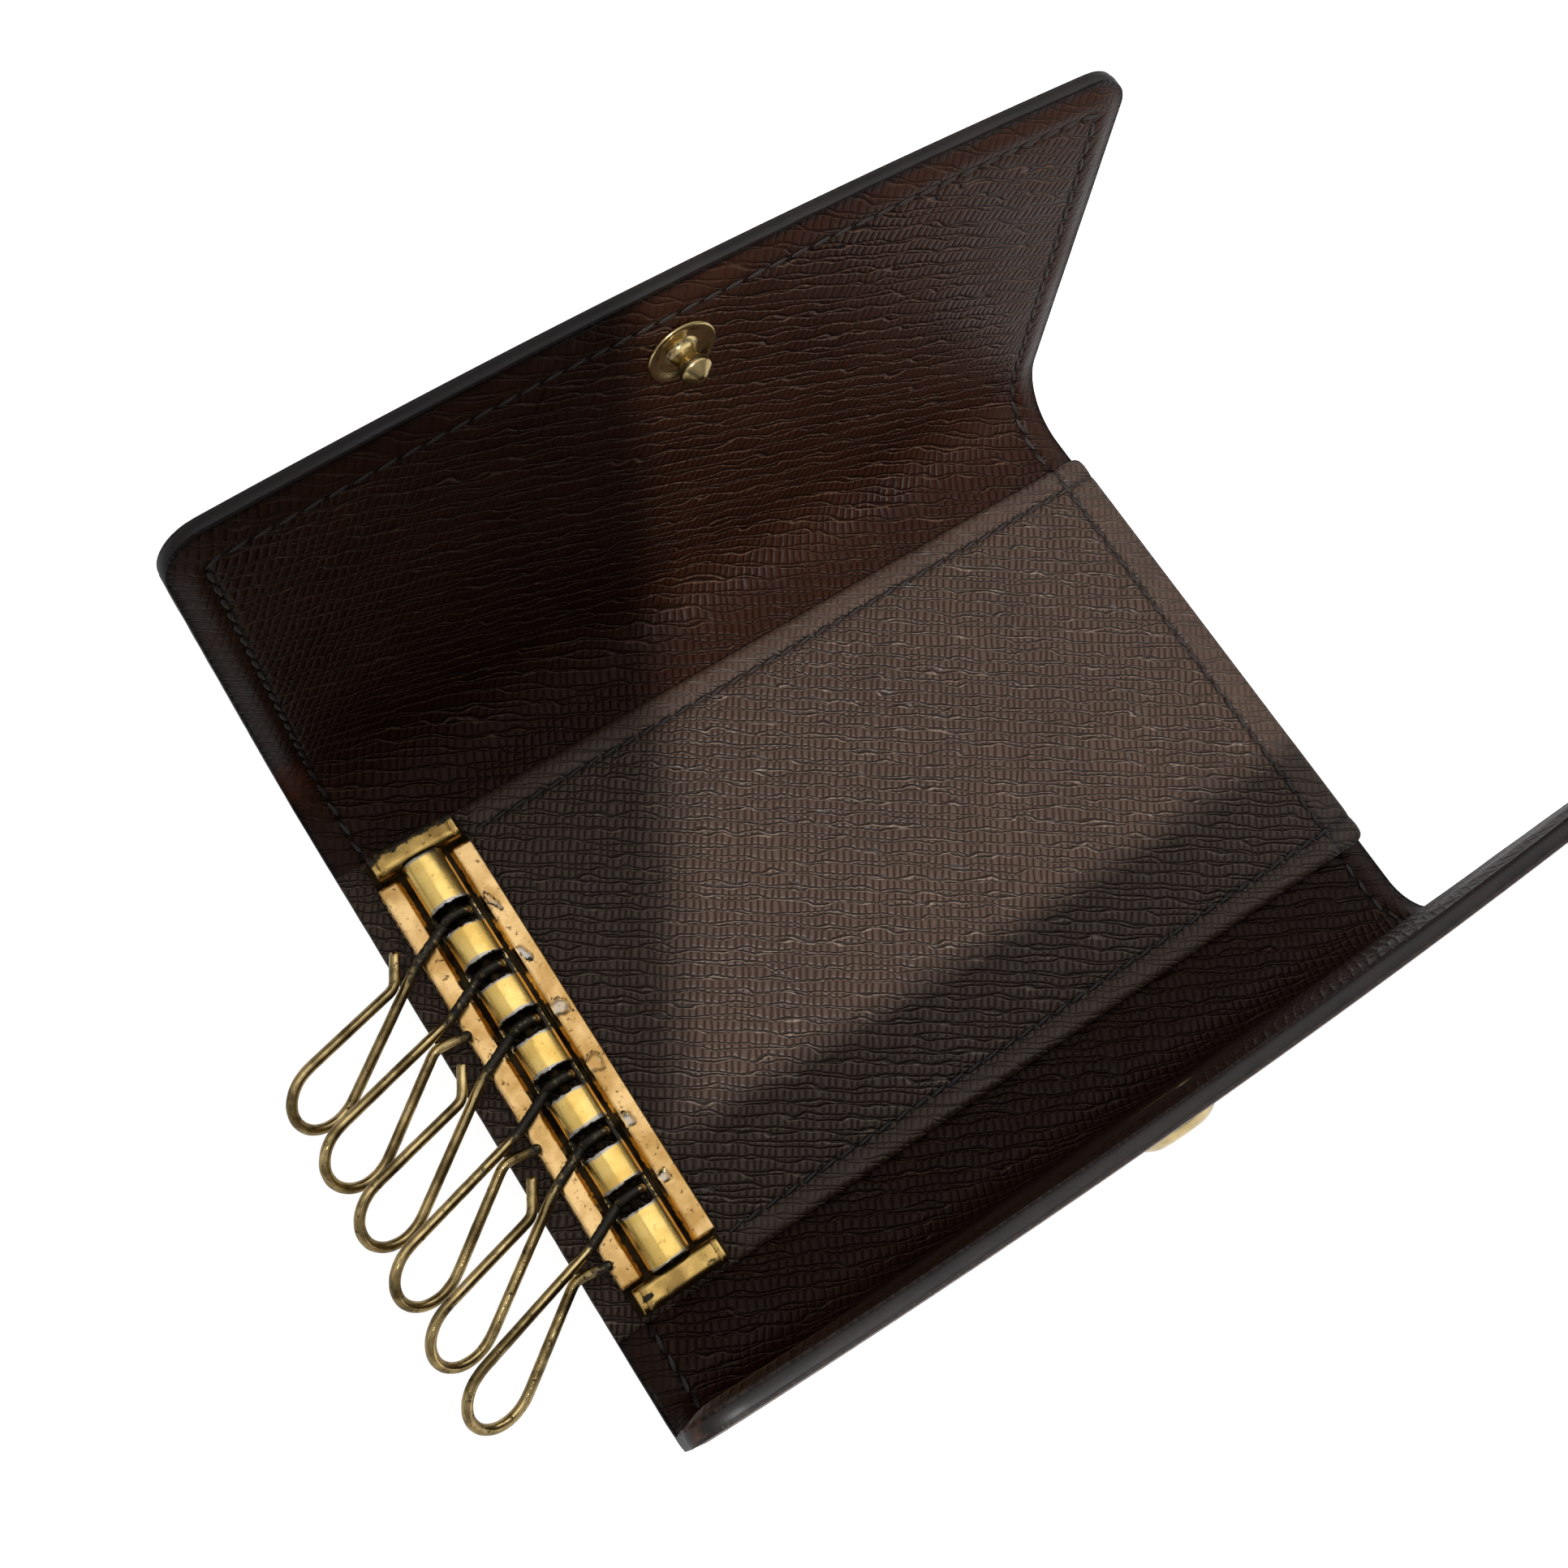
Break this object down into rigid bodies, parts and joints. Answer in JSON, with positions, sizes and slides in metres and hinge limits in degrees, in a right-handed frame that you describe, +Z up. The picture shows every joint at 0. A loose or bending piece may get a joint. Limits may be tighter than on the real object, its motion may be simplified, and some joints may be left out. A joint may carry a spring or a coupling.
{
  "type": "folding key case",
  "caption": "Folding leather key case that lies open on its back, with a brass rack of swinging wire key hooks along one short side and two flaps that close with a snap.",
  "frame": {"origin": "on the table under the middle of the leather patch, on the underside of the back", "axes": "+X along the folds, from the rack end to the free end; +Y to the flap that carries the stud; +Z up, out of the open case"},
  "size_m": [0.1162, 0.0881, 0.0543],
  "materials": {
    "coated_canvas": "coated canvas, satin",
    "lining_leather": "embossed grain, soft sheen",
    "patch_leather": "embossed cross grain, soft sheen",
    "bonded_board": "bonded leather board, matt",
    "bright_brass": "polished, lightly worn",
    "rose_brass": "worn plating over brass",
    "aged_brass": "tarnished",
    "hook_brass": "antique wire, dark at the eyes",
    "snap_brass": "lightly tarnished",
    "spring_steel": "bright steel"
  },
  "bodies": {
    "case_back": {"back_canvas": "coated_canvas", "back_board": "bonded_board", "back_lining": "lining_leather", "centre_patch": "patch_leather", "rack_base": "aged_brass", "outer_rail": "rose_brass", "inner_rail": "rose_brass", "barrel_cover": "bright_brass", "pivot_rod": "aged_brass", "upper_end_cap": "aged_brass", "lower_end_cap": "aged_brass", "rack_rivets": "spring_steel", "stud_fold_canvas": "coated_canvas", "stud_fold_lining": "lining_leather", "socket_fold_canvas": "coated_canvas", "socket_fold_lining": "lining_leather"},
    "stud_flap": {"stud_flap_canvas": "coated_canvas", "stud_flap_board": "bonded_board", "stud_flap_lining": "lining_leather", "snap_cap": "snap_brass", "snap_stud": "snap_brass"},
    "socket_flap": {"socket_flap_canvas": "coated_canvas", "socket_flap_board": "bonded_board", "socket_flap_lining": "lining_leather", "snap_socket": "snap_brass", "socket_spring": "spring_steel", "socket_eyelet": "snap_brass"},
    "hook_1": {"key_hook_1": "hook_brass"},
    "hook_2": {"key_hook_2": "hook_brass"},
    "hook_3": {"key_hook_3": "hook_brass"},
    "hook_4": {"key_hook_4": "hook_brass"},
    "hook_5": {"key_hook_5": "hook_brass"},
    "hook_6": {"key_hook_6": "hook_brass"}
  },
  "joints": [
    {"name": "stud_flap_fold", "type": "hinge", "parent": "case_back", "child": "stud_flap", "pos_m": [0, 0.0314, 0.00975], "axis": [1, 0, 0], "range_deg": [-82.1, 95.4], "deforming": ["stud_fold_canvas", "stud_fold_lining"]},
    {"name": "socket_flap_fold", "type": "hinge", "parent": "case_back", "child": "socket_flap", "pos_m": [0, -0.0337, 0.0068], "axis": [-1, 0, 0], "range_deg": [-85.7, 87.8], "deforming": ["socket_fold_canvas", "socket_fold_lining"]},
    {"name": "hook_1_swing", "type": "hinge", "parent": "case_back", "child": "hook_1", "pos_m": [-0.0415, 0.0171, 0.0053], "axis": [0, 1, 0], "range_deg": [0, 175]},
    {"name": "hook_2_swing", "type": "hinge", "parent": "case_back", "child": "hook_2", "pos_m": [-0.0415, 0.01026, 0.0053], "axis": [0, 1, 0], "range_deg": [0, 175]},
    {"name": "hook_3_swing", "type": "hinge", "parent": "case_back", "child": "hook_3", "pos_m": [-0.0415, 0.00342, 0.0053], "axis": [0, 1, 0], "range_deg": [0, 175]},
    {"name": "hook_4_swing", "type": "hinge", "parent": "case_back", "child": "hook_4", "pos_m": [-0.0415, -0.00342, 0.0053], "axis": [0, 1, 0], "range_deg": [0, 175]},
    {"name": "hook_5_swing", "type": "hinge", "parent": "case_back", "child": "hook_5", "pos_m": [-0.0415, -0.01026, 0.0053], "axis": [0, 1, 0], "range_deg": [0, 175]},
    {"name": "hook_6_swing", "type": "hinge", "parent": "case_back", "child": "hook_6", "pos_m": [-0.0415, -0.0171, 0.0053], "axis": [0, 1, 0], "range_deg": [0, 175]}
  ]
}
